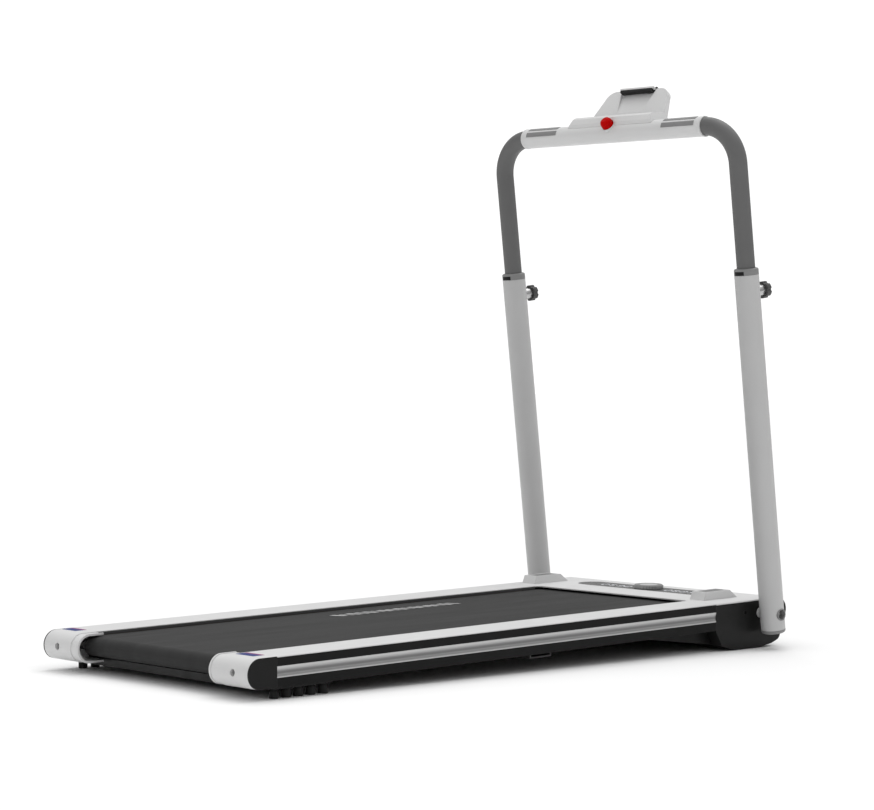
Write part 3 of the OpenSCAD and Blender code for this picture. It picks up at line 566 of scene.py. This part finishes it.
def underside_screws():
    """Domed screws that hold the rails' lower flanges and the cross member."""
    bm = bmesh.new()
    head = [(0.0052, 0.0002), (0.0050, -0.0012), (0.0036, -0.0022), (0.0022, -0.0022), (0.0020, -0.0008)]
    for side in (-1, 1):
        for y in RAIL_SCREWS:
            add_lathe(bm, head, at(side * SCREW_OFFSET, y, RAIL_BOTTOM), steps=24)
        for y in MEMBER_SCREWS:
            add_lathe(bm, head, at(side * SCREW_OFFSET, y, MEMBER_BOTTOM), steps=24)
    new_piece("underside_screws", bm, "deck", "black_oxide", DECK)


# ---- cover details ----

DISPLAY = at(-0.008, 1.383, 0)
DIAL = at(-0.008, 1.385, 0)
# the seven bars of a digit: centre, size
SEGMENTS = {
    "top": ((0, 0.0095), (0.0085, 0.0020)),
    "middle": ((0, 0), (0.0085, 0.0020)),
    "bottom": ((0, -0.0095), (0.0085, 0.0020)),
    "upper_left": ((-0.0050, 0.0048), (0.0020, 0.0080)),
    "upper_right": ((0.0050, 0.0048), (0.0020, 0.0080)),
    "lower_left": ((-0.0050, -0.0048), (0.0020, 0.0080)),
    "lower_right": ((0.0050, -0.0048), (0.0020, 0.0080)),
}
UNLIT = {
    0: ("middle",),
    2: ("upper_left", "lower_right"),
    3: ("upper_left", "lower_left"),
    5: ("upper_right", "lower_left"),
    8: (),
}


def display_digits():
    bm = bmesh.new()
    for side, digits in ((-1, (0, 3, 5, 2)), (1, (2, 8, 0, 5))):
        for place_number, digit in enumerate(digits):
            x = side * (0.058 + 0.022 * place_number)
            for bar, (centre, size) in SEGMENTS.items():
                if bar not in UNLIT[digit]:
                    outline = rounded_outline(size, 0.0008, (x + centre[0], centre[1]), steps=2)
                    add_prism(bm, outline, -0.0001, 0.0002, 0.0001)
    new_piece("display_digits", bm, "deck", "lens", DECK @ DISPLAY, LIGHTS)


def dial_details():
    ribs = bmesh.new()
    count = 60
    for i in range(count):
        turn = Matrix.Rotation(math.tau * i / count, 4, "Z")
        outline = rounded_outline((0.0010, 0.0014), 0.0004, (0.0317, 0), steps=2)
        add_prism(ribs, outline, 0.0012, 0.0068, 0.0003, turn)
    new_piece("dial_ribs", ribs, "speed_dial", "post_paint", DECK @ DIAL)
    face = bmesh.new()
    add_lathe(face, [(0.0195, 0.0079), (0.0195, 0.0083), (0.0190, 0.0086), (0.0020, 0.0084)])
    new_piece("dial_face", face, "speed_dial", "post_paint", DECK @ DIAL)
    pointer = bmesh.new()
    outline = rounded_outline((0.0018, 0.0070), 0.0008, (0, 0.0250))
    add_prism(pointer, outline, 0.0088, 0.0092, 0.0002)
    new_piece("dial_pointer", pointer, "speed_dial", "white_plastic", DECK @ DIAL)


# ---- handrail details ----

POST_OFFSET = 0.3323
POST_TOP = 0.708
KNOB_HEIGHT = 0.672
SLEEVE_HALF = 0.2523
KEY_LEAN = math.radians(42)


def sleeve_lips():
    bm = bmesh.new()
    section = [
        (0.0192, -0.0025), (0.0212, -0.0025), (0.0219, -0.0015),
        (0.0219, 0.0010), (0.0210, 0.0022), (0.0192, 0.0024),
    ]
    for side in (-1, 1):
        mirror = Matrix.Scale(side, 4, (1, 0, 0))
        add_lathe(bm, section, at(side * SLEEVE_HALF, 0, 0) @ mirror @ ALONG_X, ring=True)
    new_piece("sleeve_lips", bm, "upper_handrail", "white_plastic", BAR)


def collar_windows():
    bm = bmesh.new()
    for side in (-1, 1):
        add_arc_plate(
            bm, 0.0253, 0.0004, math.radians(54), 0.0008, 0.0086, at(side * POST_OFFSET, 0, POST_TOP))
    new_piece("collar_windows", bm, "lower_handrail", "black_plastic", PIVOT)


def knob_caps():
    profile = [(0.0064, 0.0570), (0.0064, 0.0648), (0.0056, 0.0660), (0.0030, 0.0664), (0.0012, 0.0664)]
    for name, side in (("left", -1), ("right", 1)):
        bm = bmesh.new()
        add_lathe(bm, profile, at(side * POST_OFFSET, 0, KNOB_HEIGHT) @ ALONG_Y)
        new_piece("knob_cap_" + name, bm, "lock_knob_" + name, "steel", PIVOT)


def clamp_details():
    """Rubber pad below the jaw, whose black also stands in for the shadow under the jaw, and the small catch at
    its right end.
    """
    bm = bmesh.new()
    # black strip under the jaw: partly a real rubber pad, partly painted shadow below the jaw
    outline = rounded_outline((0.090, 0.0125), 0.0015, (-0.001, -0.0022))
    add_prism(bm, outline, 0.0655, 0.0701, 0.0004)
    catch = [
        (0.041, 0.066), (0.0465, 0.066), (0.0490, 0.0775),
        (0.0475, 0.0795), (0.0440, 0.0795), (0.0425, 0.0765),
    ]
    upright = Matrix.Rotation(math.radians(90), 4, "X")
    add_prism(bm, catch, -0.0060, -0.0005, 0.0005, upright)
    new_piece("clamp_pad_and_painted_shadow", bm, "phone_clamp", "rubber", PLATE)


def key_grip():
    """Small ribs round the safety key for the fingers."""
    bm = bmesh.new()
    key = BAR @ Matrix.Rotation(KEY_LEAN, 4, "X")
    count = 18
    for i in range(count):
        turn = Matrix.Rotation(math.tau * i / count, 4, "Z")
        outline = rounded_outline((0.0008, 0.0014), 0.0003, (0.01275, 0), steps=2)
        add_prism(bm, outline, 0.0240, 0.0325, 0.0002, turn)
    new_piece("key_grip", bm, "safety_key", "red_plastic", key)


# ---- front and wheel details ----

WHEEL_OFFSET = 0.235
WHEEL_Y = 1.425
WHEEL_Z = -0.076
INLET_X = -0.150
ROCKER_X = -0.100
ROCKER_TILT = math.radians(-8)


def wheel_hubs():
    profile = [(0.0043, 0.0088), (0.0043, 0.0098), (0.0090, 0.0098), (0.0120, 0.0092), (0.0128, 0.0088)]
    for name, side in (("left", -1), ("right", 1)):
        bm = bmesh.new()
        for outward in (-1, 1):
            flip = Matrix.Scale(outward, 4, (1, 0, 0))
            hub = at(side * WHEEL_OFFSET, WHEEL_Y, WHEEL_Z) @ flip @ ALONG_X
            add_lathe(bm, profile, hub, ring=True)
        new_piece("wheel_hub_" + name, bm, "transport_wheel_" + name, "grey_plastic", DECK)


def front_panel_details():
    """Contact blades of the power inlet, and the marks on the rocker switch."""
    blades = bmesh.new()
    for x, y in ((-0.0070, -0.0020), (0.0070, -0.0020), (0, 0.0025)):
        outline = rounded_outline((0.0020, 0.0045), 0.0004, (x + INLET_X, y))
        add_prism(blades, outline, -0.0160, -0.0050, 0.0004)
    new_piece("inlet_blades", blades, "deck", "steel", FACE)
    marks = bmesh.new()
    rocker = FACE @ at(ROCKER_X, 0, 0) @ Matrix.Rotation(ROCKER_TILT, 4, "X")
    add_prism(marks, rounded_outline((0.0009, 0.0050), 0.0003, (0, 0.0055)), 0.0029, 0.0031, 0.0001)
    ring = [(0.0018, 0.0029), (0.0018, 0.0031), (0.0026, 0.0031), (0.0026, 0.0029)]
    add_lathe(marks, ring, at(0, -0.0055, 0), ring=True, steps=32)
    new_piece("rocker_marks", marks, "power_switch", "white_plastic", rocker)


belt_mark()
cap_labels()
belt_guards()
underside_screws()
display_digits()
dial_details()
sleeve_lips()
collar_windows()
knob_caps()
clamp_details()
key_grip()
wheel_hubs()
front_panel_details()
